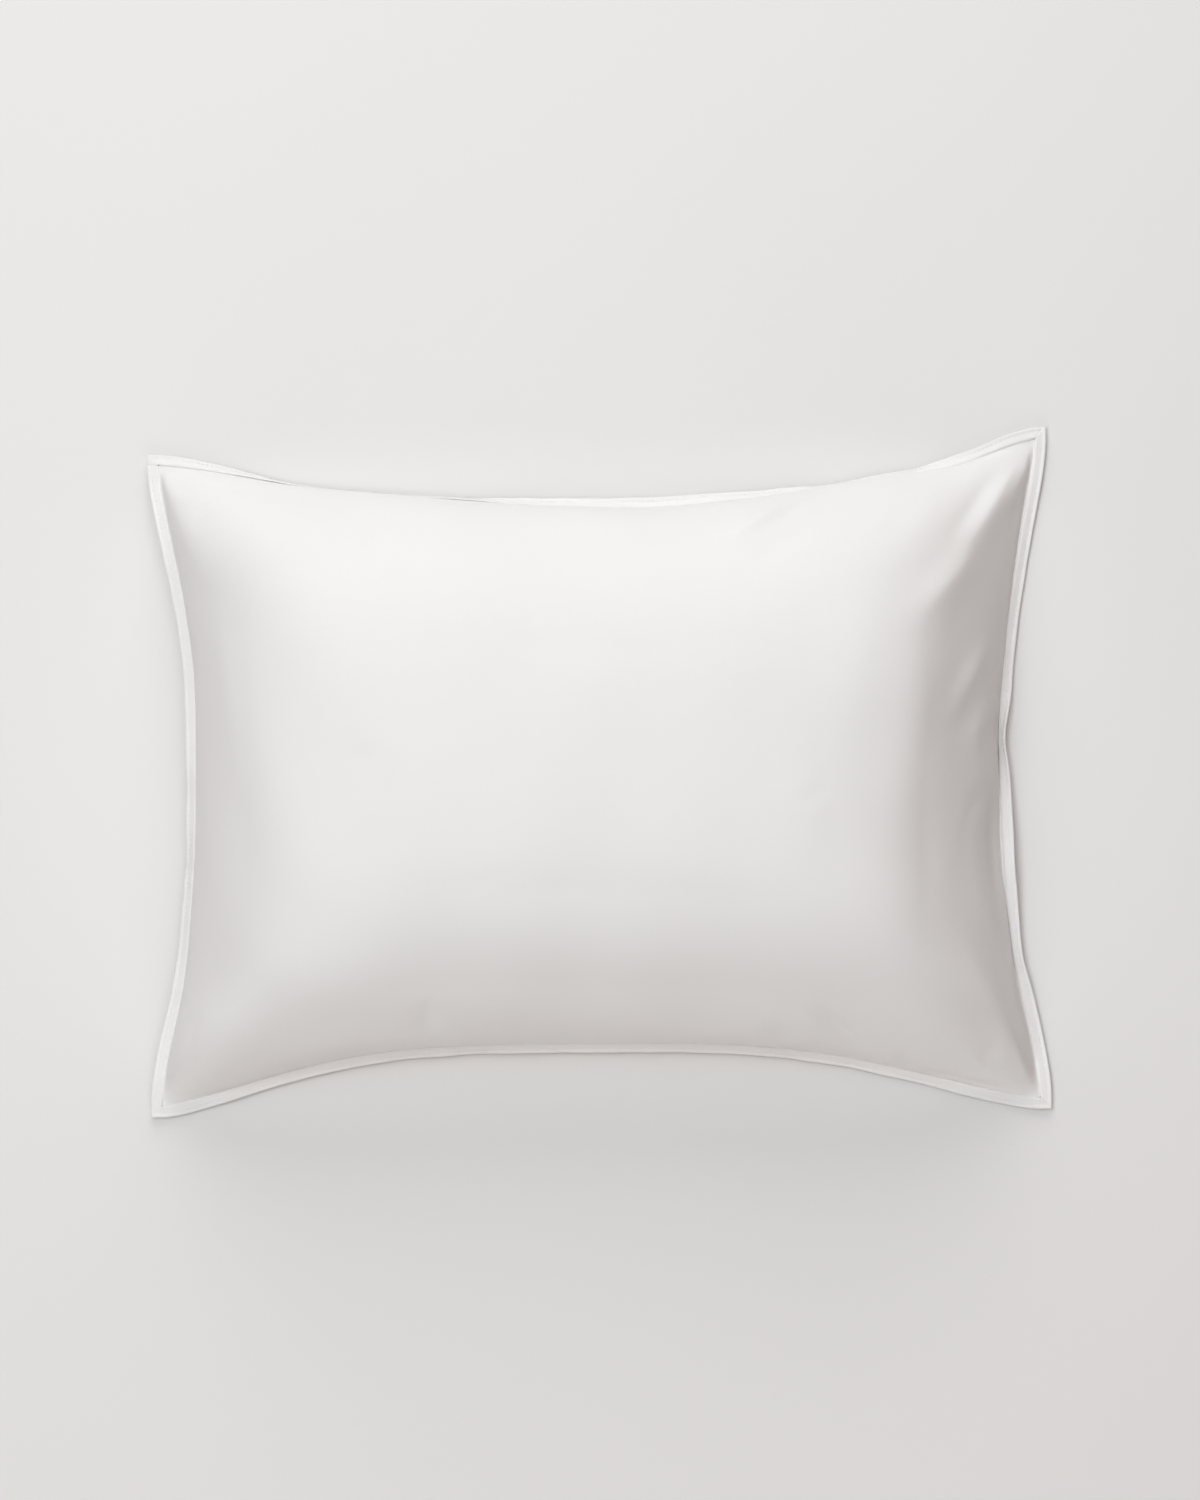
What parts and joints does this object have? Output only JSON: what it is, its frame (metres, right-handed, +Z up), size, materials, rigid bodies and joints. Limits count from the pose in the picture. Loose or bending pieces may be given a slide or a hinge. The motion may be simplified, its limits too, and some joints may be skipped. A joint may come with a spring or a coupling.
{
  "type": "filled pillowcase",
  "caption": "Cotton pillowcase on its filling, lying on its back, with drawn-in sides, pulled-out corners and a narrow flat edge band.",
  "frame": {"origin": "on the surface that the case lies on, under the middle of its box", "axes": "+Z up; +X along the long side, towards the end with the taller corner; +Y across, towards the far long side in the picture's view"},
  "size_m": [0.639, 0.49, 0.153],
  "materials": {
    "case_cotton": "smooth white cotton, close plain weave",
    "band_cotton": "white cotton strip, folded and stitched"
  },
  "bodies": {
    "root": {"filled_case": "case_cotton", "edge_band": "band_cotton"}
  },
  "joints": []
}
